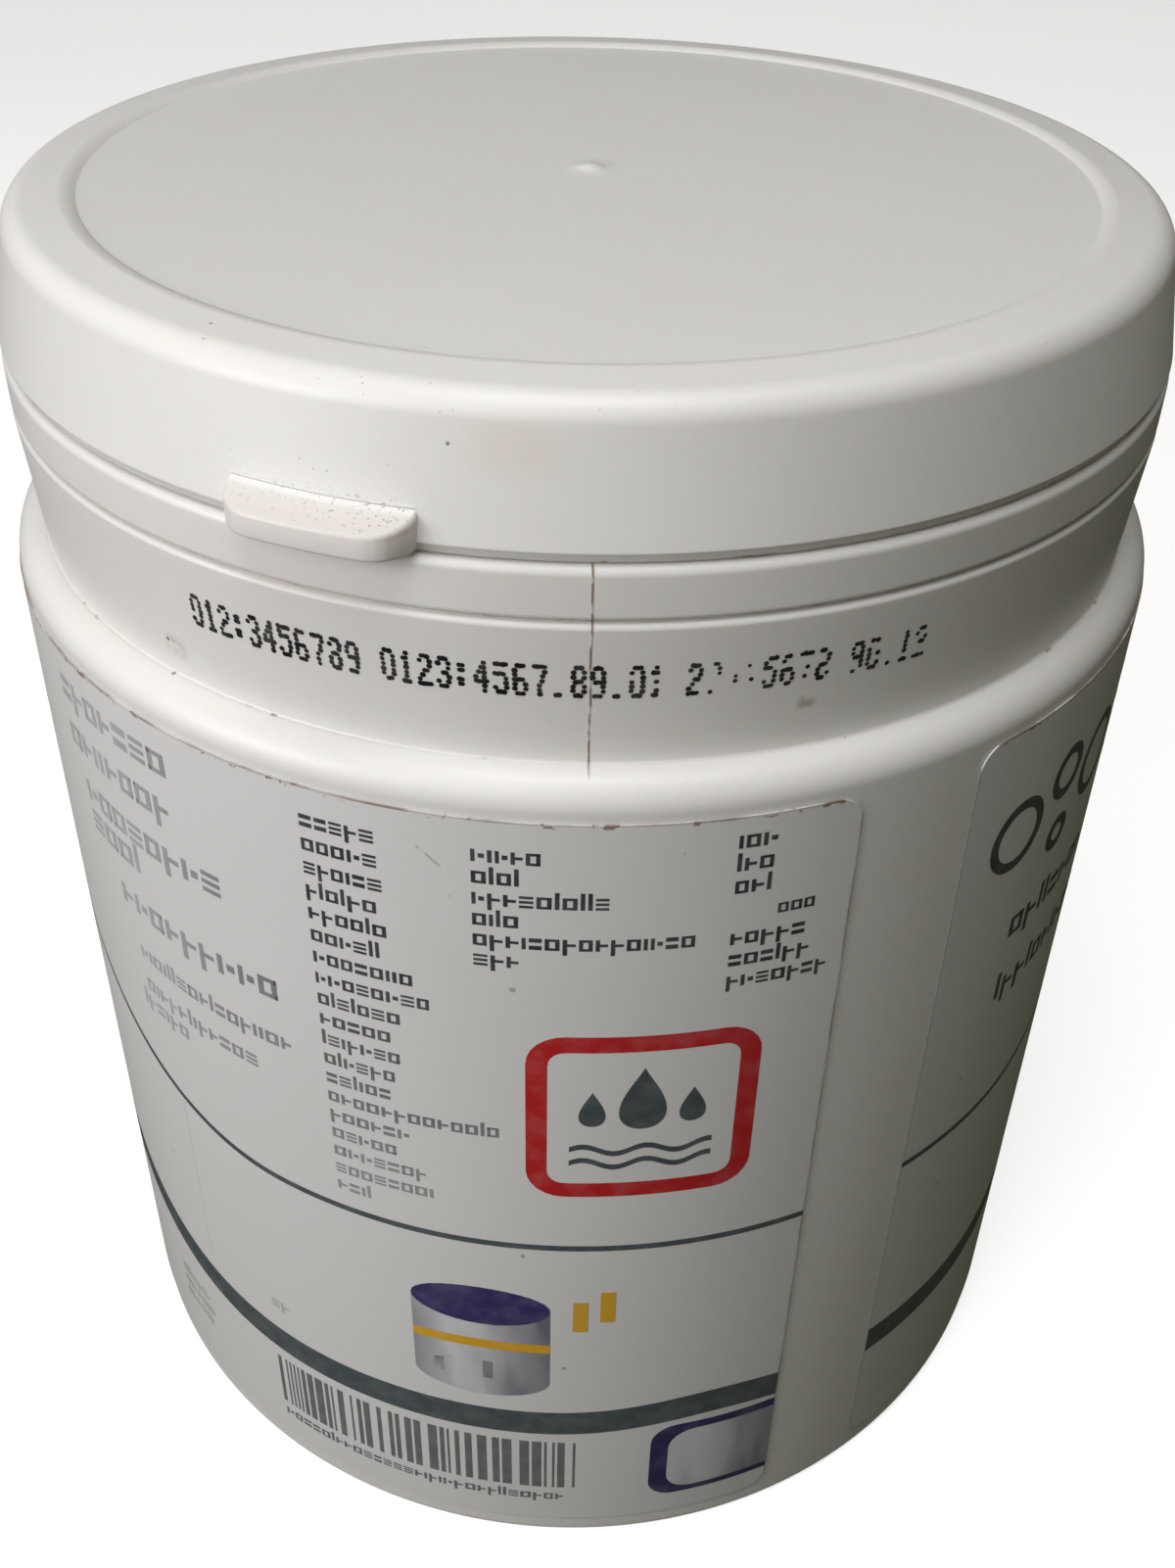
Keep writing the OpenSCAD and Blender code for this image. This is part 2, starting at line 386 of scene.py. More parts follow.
def lid_plastic():
    """White moulded plastic with specks of dust above the tab and along the top edge, painted shade on
    the tab's top and a painted shade line round the sunken panel
    """
    s = Shader("lid_plastic")
    azimuth, radius, height = s.axes()
    mottle = s.noise(45, 4)
    grain = s.noise(1400, 2)
    fine = s.noise(700, 3)
    root = near(azimuth, TAB_ANGLE, 7.4, 0.7) * near(height, TAB_ROOT_Z, 0.06, 0.12)
    above_tab = near(azimuth, TAB_ANGLE - 1, 5, 6) * near(height, TAB_ROOT_Z + 1.5, 0.5, 3)
    # Painted shade: the finger tab's top is coloured a darker grey, to tone down the light that falls
    # on its upward-facing surface
    tab_top_shade = near(azimuth, TAB_ANGLE, 8, 1) * radius.ramp(RIM_R - 0.2, RIM_R + 0.3)
    tab_top_shade = tab_top_shade * height.ramp(RIM_Z + 1.9, RIM_Z + 2.3)
    by_root = near(azimuth, TAB_ANGLE, 7.2, 1) * near(height, TAB_ROOT_Z - 0.3, 0.5, 0.8)
    rightwards = azimuth.ramp(TAB_ANGLE - 7, TAB_ANGLE + 5) * 0.75 + 0.25
    tiny = s.noise(2600, 2).ramp(0.62, 0.68)
    on_front = near(azimuth, -2, 25, 25)
    top_corner = near(azimuth, -8, 9, 8) * radius.ramp(CORNER_MID, CORNER_MID + 0.5)
    top_corner = top_corner * near(height, LAND_Z - 1.0, 0.6, 1.0)
    close_specks = s.specks(0.62, 0.13, 0.5) * fine.ramp(0.42, 0.52)
    specks = close_specks * above_tab.most(top_corner) * 0.4
    specks = specks.most(tiny * by_root * rightwards * 0.6)
    specks = specks.most(s.specks(2.6, 0.18, 0.12) * on_front * radius.ramp(50, 54))
    specks = specks.most(s.specks(9.0, 0.35, 0.035))
    crumbs = s.noise(320, 3).ramp(0.55, 0.66) * fine.ramp(0.46, 0.56)
    rim_dirt = near(height, RIM_Z + 0.05, 0.05, 0.12) * (crumbs * 0.7 + 0.15)
    # Painted shade: a thin grey line round the edge of the sunken panel, standing in for the dark
    # grazing edge there
    panel_ring_shade = near(radius, LAND_IN - SLOPE_W, 0.04, 0.10) * near(height, PANEL_Z, 0.1, 0.1)
    stain = near(azimuth, -5, 1.0, 4) * near(height, 152.5, 0.5, 3) * 0.32
    colour = s.mix(mottle * 0.5, WHITE_PLASTIC, DUSTY_PLASTIC)
    colour = s.mix(stain * (mottle * 0.6 + 0.4), colour, rgb(224, 204, 180))
    colour = s.mix(rim_dirt, colour, BROWN_DUST)
    # Painted shade on the tab's top
    colour = s.mix(tab_top_shade * 0.5, colour, rgb(208, 203, 195))
    # The painted shade line is strongest at the front and fades away towards the sides
    panel_ring_shade = panel_ring_shade * near(azimuth, -25, 35, 35)
    colour = s.mix(panel_ring_shade * 0.22, colour, rgb(120, 122, 120))
    colour = s.mix(specks * 0.75, colour, DARK_SPECK)
    s.bump(grain * 0.04 + root, 0.15, 0.8)
    return s.set(Base_Color=colour, Roughness=mottle * 0.14 + 0.32,
                 Subsurface_Weight=0.12, Subsurface_Scale=0.004)


def label_film():
    """Printed film, a little greyer than the tub, with dust along its edge"""
    s = Shader("label_film")
    azimuth, _, height = s.axes()
    mottle = s.noise(35, 4)
    fine = s.noise(900, 3)
    patches = s.noise(150, 3).ramp(0.40, 0.66) * 0.55 + 0.2
    top_dust = height.ramp(LABEL_HIGH - 0.26, LABEL_HIGH - 0.14)
    end_dust = near(azimuth, LABEL_END, 0.04, 0.14)
    crumbs = fine.ramp(0.56, 0.64) * height.ramp(LABEL_HIGH - 0.6, LABEL_HIGH - 0.3)
    edge_dust = (top_dust.most(end_dust) * patches).most(crumbs * 0.8)
    scratch = near(azimuth + (height - 113.7) * 0.9, -11.6, 0.06, 0.2) * near(height, 113.7, 0.9, 0.4)
    scratch = scratch.most(near(azimuth, -10, 0.1, 0.3) * near(height, 109.2, 0.1, 0.3))
    dot = near(azimuth, DOT_MARK[0], 0.12, 0.25) * near(height, DOT_MARK[1], 0.14, 0.25)
    specks = s.specks(5.0, 0.30, 0.08).most(dot).most(scratch * fine.ramp(0.4, 0.6) * 0.7)
    panel_edge = near(azimuth, -44.5, 0.05, 0.12) * near(height, 47, 14.8, 0.3)
    colour = s.mix(mottle * 0.6, rgb(231, 230, 229), rgb(219, 218, 216))
    colour = s.mix(panel_edge * 0.16, colour, rgb(120, 122, 130))
    colour = s.mix(edge_dust, colour, BROWN_DUST)
    colour = s.mix(near(azimuth, LABEL_START, 0.05, 0.08) * 0.75, colour, rgb(128, 125, 117))
    colour = s.mix(specks * 0.5, colour, DARK_SPECK)
    s.bump(s.noise(120, 3), 0.05, 0.25)
    return s.set(Base_Color=colour, Roughness=mottle * 0.1 + 0.36)


def ink(name, colour, fade=0.0, wash=0.0):
    """Printing ink: fade is how much paper shows everywhere, wash how much towards the foot"""
    s = Shader(name)
    azimuth, _, height = s.axes()
    mottle = s.noise(400, 3)
    thin = mottle.ramp(0.35, 0.75) * 0.07 + fade
    if wash:
        low = 1 - height.ramp(52, 104)
        left = 1 - azimuth.ramp(-50, -24)
        thin = thin + low.most(left) * wash
    return s.set(Base_Color=s.mix(thin.least(0.95), colour, rgb(225, 224, 221)),
                 Roughness=mottle * 0.1 + 0.38)


def jar_outline():
    """Section of the tub: up the outside, over the mouth and down the inside"""
    foot_in = BODY_R - FOOT_R - FOOT_W
    floor_z = PUSH_UP + BASE_T
    floor_fillet = FOOT_R / 2
    neck_in = CREASE_R - WALL
    edge_r = 0.45 * WALL
    outer = [(0, PUSH_UP), (foot_in - PUSH_UP, PUSH_UP), (foot_in, 0)]
    outer += arc(BODY_R - FOOT_R, FOOT_R, FOOT_R, -90, 0, 16)
    outer += arc(BODY_R - SHOULDER_R, BODY_H, SHOULDER_R, 0, 90, 20)
    outer += arc(CREASE_R + 0.25, SHOULDER_Z + 0.25, 0.25, 250, 180, 5)
    outer += arc(BAND_R - SHARP_LIP_R, MIDDLE_CREASE_Z - SHARP_LIP_R, SHARP_LIP_R, 0, 80, 8)
    outer += arc(CREASE_R + 0.2, MIDDLE_CREASE_Z + 0.15, 0.2, 250, 140, 5)
    outer += arc(BAND_R - SHARP_LIP_R, MIDDLE_CREASE_Z + CREASE_H, SHARP_LIP_R, -60, 0, 5)
    outer += arc(BAND_R - LIP_R, NECK_Z - LIP_R, LIP_R, 0, 90, 10)
    mouth = [(MOUTH_R, NECK_Z), (MOUTH_R, BEAD_Z - BEAD_OUT - 0.6)]
    mouth += arc(MOUTH_R, BEAD_Z, BEAD_OUT, -60, 60, 10)
    mouth += [(MOUTH_R, BEAD_Z + BEAD_OUT + 0.6)]
    mouth += arc(MOUTH_R - edge_r, MOUTH_Z - edge_r, edge_r, 0, 90, 6)
    mouth += arc(MOUTH_IN + edge_r, MOUTH_Z - edge_r, edge_r, 90, 180, 6)
    inner = [(MOUTH_IN, NECK_Z - WALL), (neck_in, NECK_Z - WALL), (neck_in, SHOULDER_Z - WALL)]
    inner += arc(BODY_R - SHOULDER_R, BODY_H, SHOULDER_R - WALL, 90, 0, 8)
    inner += arc(BODY_R - WALL - floor_fillet, floor_z + floor_fillet, floor_fillet, 0, -90, 8)
    return outer + mouth + inner + [(0, floor_z)]


def lid_outline():
    """Section of the lid: up the skirt, over the land to the sunken panel, and back below"""
    land_under = MOUTH_Z + LID_CLEAR
    catch_in = MOUTH_R + BEAD_OUT + LID_CLEAR
    plug_r = MOUTH_IN - LID_CLEAR
    panel_under = PANEL_Z - LID_T
    plug_z = land_under - 5.0
    out, up = RIM_R - CORNER_MID, SKIRT_Z - CORNER_Z
    lean = math.degrees(math.acos(LID_CORNER_R / math.hypot(out, up)) + math.atan2(up, out))
    skirt = [(catch_in, RIM_Z), (RIM_R - UNDERCUT_W, RIM_Z)]
    skirt += arc(RIM_R - 0.25, SKIRT_Z, 0.25, -30, 0, 4)
    top = arc(CORNER_MID, CORNER_Z, LID_CORNER_R, lean, 90 - LAND_LEAN, 16)
    skirt += rungs(skirt[-1], top[0], (3.0, 3.6))
    top += arc(LAND_IN, LAND_Z - SLOPE_R, SLOPE_R, 90, 90 + SLOPE_LEAN, 12)
    top += [(r, PANEL_Z) for r in (44, 32, 20, 10, 4, 0)]
    under = [(0, panel_under), (plug_r - LID_T, panel_under), (plug_r - LID_T, plug_z)]
    under += [(plug_r - 0.6, plug_z), (plug_r, plug_z + 2), (plug_r, land_under)]
    under += arc(CORNER_R - LID_T - INNER_CORNER_R, land_under - INNER_CORNER_R,
                 INNER_CORNER_R, 90, 0, 8)
    under += [(RIM_R - LID_T, SKIRT_Z + 1.4), (catch_in, SKIRT_Z + 0.4), (catch_in, RIM_Z)]
    return skirt + top + under


def tab_solid():
    """The finger tab: a flat outline raised to a solid, rounded, then bent round the lid"""
    bm = bmesh.new()
    root = RIM_R - UNDERCUT_W - LID_T / 2
    reach = RIM_R + TAB_REACH
    front = arc(TAB_W / 2 - TAB_CORNER_R, reach - TAB_CORNER_R, TAB_CORNER_R, 0, 90, 8)
    outline = [(TAB_W / 2, root)] + front
    outline += [(-x, y) for x, y in reversed(outline)]
    face = bm.faces.new([bm.verts.new((x, y, RIM_Z)) for x, y in outline])
    raised = bmesh.ops.extrude_face_region(bm, geom=[face])
    tops = [v for v in raised["geom"] if isinstance(v, bmesh.types.BMVert)]
    bmesh.ops.translate(bm, verts=tops, vec=(0, 0, TAB_T))
    bmesh.ops.recalc_face_normals(bm, faces=bm.faces)
    rounded = [e for e in bm.edges
               if abs(e.verts[0].co.z - e.verts[1].co.z) < 1e-6
               and min(v.co.y for v in e.verts) >= root
               and max(v.co.y for v in e.verts) > root + 0.01]
    bmesh.ops.bevel(bm, geom=rounded, offset=TAB_EDGE_R, offset_type="OFFSET", affect="EDGES",
                    segments=5, profile=0.5, material=-1)
    for step in range(1, 20):
        bmesh.ops.bisect_plane(bm, geom=bm.verts[:] + bm.edges[:] + bm.faces[:],
                               plane_co=(-TAB_W / 2 + TAB_W * step / 20, 0, 0), plane_no=(1, 0, 0))
    for step in range(1, 6):
        bmesh.ops.bisect_plane(bm, geom=bm.verts[:] + bm.edges[:] + bm.faces[:],
                               plane_co=(0, RIM_R + 0.7 - 0.3 * step, 0), plane_no=(0, 1, 0))
    for v in bm.verts:
        level = (v.co.z - RIM_Z) / TAB_T
        back = max(0.0, reach - v.co.y) / TAB_REACH
        fillet = max(0.0, 0.7 - (v.co.y - RIM_R + 0.3)) ** 2 * 0.5
        v.co.z += level * (TAB_RISE * min(back, 1.0) + min(fillet, 0.3))
        v.co = around(v.co.y, TAB_ANGLE + math.degrees(v.co.x / RIM_R), v.co.z)
    bmesh.ops.recalc_face_normals(bm, faces=bm.faces)
    return bm


def joined(first, second):
    """Two closed shapes made one by a Boolean union"""
    pieces = []
    for bm in (first, second):
        mesh = bpy.data.meshes.new("part")
        bm.to_mesh(mesh)
        bm.free()
        pieces.append(bpy.data.objects.new("part", mesh))
        bpy.context.scene.collection.objects.link(pieces[-1])
    union = pieces[0].modifiers.new("union", "BOOLEAN")
    union.operation = "UNION"
    union.solver = "EXACT"
    union.object = pieces[1]
    bpy.context.view_layer.update()
    result = bmesh.new()
    result.from_object(pieces[0], bpy.context.evaluated_depsgraph_get())
    for piece in pieces:
        mesh = piece.data
        bpy.data.objects.remove(piece)
        bpy.data.meshes.remove(mesh)
    return result


def gate_mark():
    """The small round moulding mark in the middle of the panel"""
    mark = [(0, PANEL_Z - 0.4), (2.2, PANEL_Z - 0.4)]
    for step in range(13):
        share = 1 - step / 12
        mark.append((2.2 * share, PANEL_Z - 0.03 + 0.2 * (1 + math.cos(math.pi * share))))
    return spun(mark, 48)


def bent(bm, radius, column=1.2):
    """Cuts flat shapes into columns and bends them round the wall: x is the length along
    the wall from the front, y the height, and radius a length or a function of the height"""
    radius_at = radius if callable(radius) else (lambda z: radius)
    low = min(v.co.x for v in bm.verts)
    high = max(v.co.x for v in bm.verts)
    for i in range(1, math.ceil((high - low) / column)):
        bmesh.ops.bisect_plane(bm, geom=bm.verts[:] + bm.edges[:] + bm.faces[:],
                               plane_co=(low + i * column, 0, 0), plane_no=(1, 0, 0), dist=1e-5)
    for v in bm.verts:
        r = radius_at(v.co.y)
        v.co = around(r + v.co.z, math.degrees(v.co.x / BODY_R), v.co.y)
    return bm


def along(azimuth):
    """Length along the wall from the front to an angle"""
    return math.radians(azimuth) * BODY_R


def block(bm, x, y, width, height, corner=0.0):
    """A flat rectangle from its lower left corner, with rounded corners if asked"""
    middle = Matrix.Translation((x + width / 2, y + height / 2, 0))
    made = bmesh.ops.create_grid(bm, x_segments=1, y_segments=1, size=0.5,
                                 matrix=middle @ Matrix.Diagonal((width, height, 1, 1)))
    faces = list({f for v in made["verts"] for f in v.link_faces})
    if corner:
        made = bmesh.ops.bevel(bm, geom=made["verts"], offset=corner, affect="VERTICES",
                               segments=6, profile=0.5, material=-1)
        faces = [f for f in bm.faces if all(v in set(made["verts"]) for v in f.verts)]
    return faces


def disc(bm, x, y, radius, segments=32, stretch=1.0, turn=0.0):
    """A flat disc or, when stretched, an ellipse"""
    turned = Matrix.Rotation(math.radians(turn), 4, "Z") @ Matrix.Diagonal((stretch, 1, 1, 1))
    made = bmesh.ops.create_circle(bm, cap_ends=True, segments=segments, radius=radius,
                                   matrix=Matrix.Translation((x, y, 0)) @ turned)
    return list({f for v in made["verts"] for f in v.link_faces})


def hollow(bm, faces, width):
    """Leaves a border of the faces"""
    bmesh.ops.inset_region(bm, faces=faces, thickness=width, use_boundary=True,
                           use_even_offset=True)
    bmesh.ops.delete(bm, geom=faces, context="FACES")


def label_band():
    """The label: a flat sheet with rounded corners, bent round the wall and given its thickness"""
    bm = bmesh.new()
    left = along(LABEL_START - 360)
    block(bm, left, LABEL_LOW, along(LABEL_END) - left, LABEL_HIGH - LABEL_LOW, LABEL_CORNER)
    outward(bent(bm, LABEL_R))
    bmesh.ops.solidify(bm, geom=bm.faces[:], thickness=LABEL_T)
    return bm


def outward(bm):
    """Turns a bent sheet's faces away from the axis"""
    wrong = []
    for face in bm.faces:
        face.normal_update()
        centre = face.calc_center_median()
        if face.normal.x * centre.x + face.normal.y * centre.y < 0:
            wrong.append(face)
    bmesh.ops.reverse_faces(bm, faces=wrong)
    return bm


def printed(bm, name, material, layer=1):
    """Lays flat shapes on the label as print"""
    bent(bm, LABEL_R + layer * PRINT_LIFT)
    return finished(outward(bm), name, "tub", material)


# Marks in place of words, as blocks of x, y, width and height, each a share of the mark's own
MARK_KINDS = {
    "ring": (1.0, ((0, 0, 1, 0.22), (0, 0.78, 1, 0.22), (0, 0, 0.3, 1), (0.7, 0, 0.3, 1))),
    "post": (0.3, ((0, 0, 1, 1),)),
    "tall": (0.3, ((0, 0, 1, 1.42),)),
    "spur": (0.85, ((0, 0, 0.35, 1), (0.35, 0.39, 0.65, 0.24))),
    "half": (0.9, ((0, 0, 0.32, 1), (0.55, 0.33, 0.45, 0.36))),
    "pair": (0.95, ((0, 0, 1, 0.36), (0, 0.64, 1, 0.36))),
    "deep": (0.9, ((0, -0.4, 0.34, 1.4), (0.34, 0.38, 0.66, 0.24))),
    "slab": (1.0, ((0, 0, 1, 0.22), (0, 0.39, 1, 0.22), (0, 0.78, 1, 0.22))),
}


def marks(bm, x, y, width, height, rng, right_aligned=False):
    """A row of small abstract marks in place of words"""
    unit = 0.72 * height
    if right_aligned:
        x -= width
    end = x + width
    kinds = ["ring", "ring", "ring", "post", "tall", "spur", "half", "pair", "deep", "slab"]
    while x < end - 0.6 * unit:
        share, blocks = MARK_KINDS[rng.choice(kinds)]
        broad = share * unit * rng.uniform(0.85, 1.0)
        for left, low, wide, high in blocks:
            block(bm, x + left * broad, y + low * unit, wide * broad, high * unit)
        x += broad + unit * 0.2


def swoop(azimuth, start, rise, power=1.0):
    """How far a printed line climbs to the left of a start angle, and comes down again"""
    turn = (start - azimuth) / 136
    if not 0 < turn < 1:
        return 0.0
    return rise * ((1 - math.cos(math.tau * turn)) / 2) ** power


def thick_line(azimuth):
    """Height of the broad slate band"""
    hump = 1.8 * math.exp(-(((azimuth - 17) / 11) ** 2))
    return 25.3 + hump + swoop(azimuth, -22, 14.3, 1.5) + swoop(azimuth, -175, 9, 1.0)


def thin_line(azimuth):
    """Height of the thin slate line"""
    return 59.4 + swoop(azimuth, -30, 26) + swoop(azimuth, -175, 14)


def stripe(bm, centre, width, first, last, step=1.0):
    """A flat band that follows a line round the label"""
    count = math.ceil((last - first) / step)
    angles = [first + (last - first) * i / count for i in range(count + 1)]
    low = [bm.verts.new((along(a), centre(a) - width / 2, 0)) for a in angles]
    edges = [bm.edges.new(pair) for pair in zip(low, low[1:])]
    risen = bmesh.ops.extrude_edge_only(bm, edges=edges)["geom"]
    bmesh.ops.translate(bm, verts=[v for v in risen if isinstance(v, bmesh.types.BMVert)],
                        vec=(0, width, 0))


def print_lines():
    """The thin and the broad slate line that run round the label"""
    slate = ink("slate_ink", rgb(78, 88, 92))
    ends = (LABEL_START - 360 + 0.05, LABEL_END - 0.05)
    bm = bmesh.new()
    stripe(bm, thin_line, 0.9, *ends)
    stripe(bm, thick_line, 4.6, *ends)
    printed(bm, "print_lines", slate)


def print_text():
    """Columns of small marks in the upper part of the label"""
    rng = random.Random(11)
    bm = bmesh.new()
    left_column = (7.8, 8.3, 8.0, 8.3, 9.1, 8.3, 10.5, 13.1, 8.7, 7.5,
                   8.9, 8.3, 7.5, 18.9, 9.8, 7.4, 10.9, 12.0, 5.0)
    for row, width in enumerate(left_column):
        marks(bm, along(-22.9), 113.9 - 2.85 * row, width, 2.0, rng)
    for row, width in enumerate((6.7, 5.0, 13.5, 4.8, 22.0, 4.2)):
        marks(bm, along(-8.1), 113.8 - 2.55 * row, width, 2.0, rng)
    for row, width in enumerate((4.7, 4.7, 4.7)):
        marks(bm, along(13.4), 115.0 - 2.7 * row, width, 2.1, rng)
    marks(bm, along(20.8), 106.4, 3.9, 1.7, rng, right_aligned=True)
    for row, width in enumerate((8.4, 8.4, 10.2)):
        marks(bm, along(13.4), 103.2 - 2.75 * row, width, 2.0, rng)
    printed(bm, "print_text", ink("grey_ink", rgb(58, 60, 66), wash=0.5))


def print_headings():
    """Larger faded marks on the left, which end at an angle, and a few low down"""
    rng = random.Random(12)
    bm = bmesh.new()
    rows = ((114.6, -36.7, 21), (108.6, -37.57, 20), (102.1, -31.52, 25), (98.0, -42.95, 12),
            (91.0, -26.43, 26), (84.0, -26.43, 24), (79.0, -30.83, 19), (76.0, -40.8, 9))
    for z, end, width in rows:
        marks(bm, along(end), z - 2, width, 3.8 if z > 90 else 2.4, rng, right_aligned=True)
    for row in range(3):
        marks(bm, along(-54), 18.6 - 2.6 * row, 8.5, 1.9, rng)
    marks(bm, along(-34.2), 32.4, 2.6, 2.0, rng)
    printed(bm, "print_headings", ink("faded_ink", rgb(120, 121, 126), wash=0.55))


def drop(bm, x, y, radius):
    """A flat drop with its point up"""
    corners = []
    for i in range(40):
        a = math.tau * i / 40
        corners.append((x + radius * math.sin(a) * math.sin(a / 2) ** 1.4 * 1.15,
                        y + radius * 1.5 * math.cos(a), 0))
    bm.faces.new([bm.verts.new(corner) for corner in corners])


def print_sign():
    """A red rounded frame with three slate drops above water, which warns of nothing"""
    red = ink("red_ink", rgb(192, 34, 40))
    slate = ink("sign_slate_ink", rgb(74, 84, 88))
    x, z, size = along(6.8), 80.2, 24.0
    bm = bmesh.new()
    hollow(bm, block(bm, x - size / 2, z - size / 2, size, size, 4.0), 2.2)
    printed(bm, "print_sign", red)
    bm = bmesh.new()
    drop(bm, x, z + 3.0, 3.0)
    drop(bm, x - 5.2, z + 1.6, 1.7)
    drop(bm, x + 5.2, z + 1.6, 1.7)
    for row in range(2):
        stripe(bm, lambda a, row=row: z - 4.6 - 2.1 * row + 0.55 * math.sin(math.radians(a) * 62),
               0.8, math.degrees((x - 7.5) / BODY_R), math.degrees((x + 7.5) / BODY_R), 0.25)
    printed(bm, "print_sign_motif", slate)


def print_bars():
    """Upright bars of chance widths, with a row of marks below"""
    rng = random.Random(13)
    bm = bmesh.new()
    x, end = along(-34.7), along(1.5)
    while x < end:
        width = rng.choice((0.3, 0.3, 0.6, 0.9, 1.2))
        block(bm, x, 11.2, min(width, end - x), 10.1)
        x += width + rng.choice((0.35, 0.35, 0.7, 1.0))
    marks(bm, along(-34.5), 8.4, end - along(-34.5) - 1, 1.9, rng)
    printed(bm, "print_bars", ink("bar_ink", rgb(84, 86, 92), fade=0.12))


def silver_print(name, middle, half_width):
    """Grey print, shaded like a rounded silver wrapper that stands at an angle of the wall"""
    s = Shader(name)
    azimuth, _, _ = s.axes()
    across = (azimuth - middle) * (1 / half_width)
    round_tone = 1 - abs(across + 0.35).ramp(0.1, 1.2) * 0.75
    folds = s.noise(170, 2, stretch=(1, 1, 0.25)).ramp(0.42, 0.62) * 0.3
    tone = (round_tone - folds).most(0.0)
    return s.set(Base_Color=s.mix(tone, rgb(112, 114, 124), rgb(218, 219, 223)),
                 Roughness=folds * 0.1 + 0.36)


def print_picture():
    """A plain drawing of a wrapped tablet that stands up, with a strip and two bars"""
    indigo, yellow = (ink("indigo_ink", rgb(58, 48, 104)), ink("yellow_ink", rgb(224, 172, 40)))
    azimuth, z, half, low = -8.6, 41.2, 8.2, 3.4
    x = along(azimuth)
    bm = bmesh.new()
    block(bm, x - half, z - 7.4, 2 * half, 14)
    disc(bm, x, z - 7.4, low, stretch=half / low)
    printed(bm, "print_tablet_side", silver_print("silver_print", azimuth, 7.3))
    bm = bmesh.new()
    disc(bm, x, z + 6.6, low, stretch=half / low)
    printed(bm, "print_tablet_end", indigo, layer=2)
    bm = bmesh.new()
    block(bm, x - half, z - 1.4, 2 * half, 1.6)
    block(bm, x + 10.8, z + 3, 1.7, 5.5)
    block(bm, x + 13.9, z + 4.8, 1.7, 5.5)
    printed(bm, "print_tear_strip", yellow, layer=2)


def cut_off(bm, x):
    """Takes away what lies past a length along the wall"""
    bmesh.ops.bisect_plane(bm, geom=bm.verts[:] + bm.edges[:] + bm.faces[:],
                           plane_co=(x, 0, 0), plane_no=(1, 0, 0), clear_outer=True)


def print_frame():
    """An indigo rounded frame round a grey field, both cut by the label's end"""
    x, end = along(9.8), along(LABEL_END) - 0.06
    for name, material, inset, layer in (
            ("print_frame", ink("frame_ink", rgb(52, 46, 96)), 0.0, 1),
            ("print_frame_field", silver_print("field_print", 17, 9), 2.3, 2)):
        bm = bmesh.new()
        block(bm, x + inset, 7.9 + 0.5 * inset, 30, 15.5 - 1.15 * inset, 3.4)
        cut_off(bm, end)
        printed(bm, name, material, layer)


def print_front():
    """Round bubbles and rows of marks on the label's other side"""
    rng = random.Random(14)
    dark = ink("front_ink", rgb(70, 72, 76))
    bm = bmesh.new()
    for azimuth, z, radius in ((44.5, 104.0, 4.6), (52.5, 107.5, 3.4), (53.0, 99.0, 2.4),
                               (61.0, 104.5, 5.2), (71.0, 108.0, 3.0), (72.5, 100.5, 4.2)):
        hollow(bm, disc(bm, along(azimuth), z, radius), 1.3)
    for row, width in enumerate((22.0, 26.0)):
        marks(bm, along(47.0), 88.0 - 9.5 * row, width, 4.0, rng)
    printed(bm, "print_bubbles", dark)


def print_back():
    """Columns of marks, plain rounded fields and drops on the label's far side"""
    rng = random.Random(17)
    bm = bmesh.new()
    for azimuth, top, rows, width in ((104, 112, 9, 20.0), (128, 112, 7, 18.0), (178, 112, 14, 21.0),
                                      (203, 112, 12, 23.0), (232, 50, 4, 16.0)):
        for row in range(rows):
            marks(bm, along(azimuth), top - 3.0 * row, width * rng.uniform(0.6, 1.0), 1.9, rng)
    printed(bm, "print_back_text", ink("back_ink", rgb(72, 74, 80)))
    bm = bmesh.new()
    for azimuth in (106, 122, 138):
        hollow(bm, block(bm, along(azimuth), 66, 14, 14, 2.5), 0.7)
        drop(bm, along(azimuth) + 7, 72.4, 3.2)
    block(bm, along(152), 84, 22, 28, 3.0)
    printed(bm, "print_back_fields", ink("back_slate_ink", rgb(86, 96, 102)))


def tub():
    outline = braced(jar_outline())
    finished(spun(outline), "tub_shell", "tub", tub_plastic(), ["jar"])


def lid():
    outline = braced(lid_outline())
    shell = joined(joined(spun(outline), tab_solid()), gate_mark())
    finished(shell, "lid_shell", "lid", lid_plastic(), ["lid"])


def label():
    finished(label_band(), "label_band", "tub", label_film(), ["label"])
    print_lines()
    print_text()
    print_headings()
    print_sign()
    print_bars()
    print_picture()
    print_frame()
    print_front()
    print_back()


# The ink-jet code: plain digits in rows of dots, top row first
DIGITS = {
    "0": ".###. #...# #...# #...# #...# #...# .###.",
    "1": "..#.. .##.. ..#.. ..#.. ..#.. ..#.. .###.",
    "2": ".###. #...# ....# ..##. .#... #.... #####",
    "3": ".###. #...# ....# ..##. ....# #...# .###.",
    "4": "...#. ..##. .#.#. #..#. ##### ...#. ...#.",
    "5": "##### #.... ####. ....# ....# #...# .###.",
    "6": ".###. #.... #.... ####. #...# #...# .###.",
    "7": "##### ....# ...#. ...#. ..#.. ..#.. ..#..",
    "8": ".###. #...# #...# .###. #...# #...# .###.",
    "9": ".###. #...# #...# .#### ....# ....# .###.",
    ".": "..... ..... ..... ..... ..... ..... .##..",
    ":": "..... .##.. .##.. ..... .##.. .##.. .....",
    " ": "..... ..... ..... ..... ..... ..... .....",
}
CODE_TEXT = "012:3456789 0123:4567.89.01 234:5678 90.12"
CODE_PITCH = 1.735
CODE_START = -33.8
CODE_Z = 130.4
DOT_X = 0.24
DOT_Z = 0.49
DOT_R = 0.275


def lower_band_radius(z):
    """Radius of the lower neck band, which leans outwards as it rises"""
    rise = (z - SHOULDER_Z) / (MIDDLE_CREASE_Z - SHARP_LIP_R - SHOULDER_Z)
    return CREASE_R + CREASE_DEPTH * rise


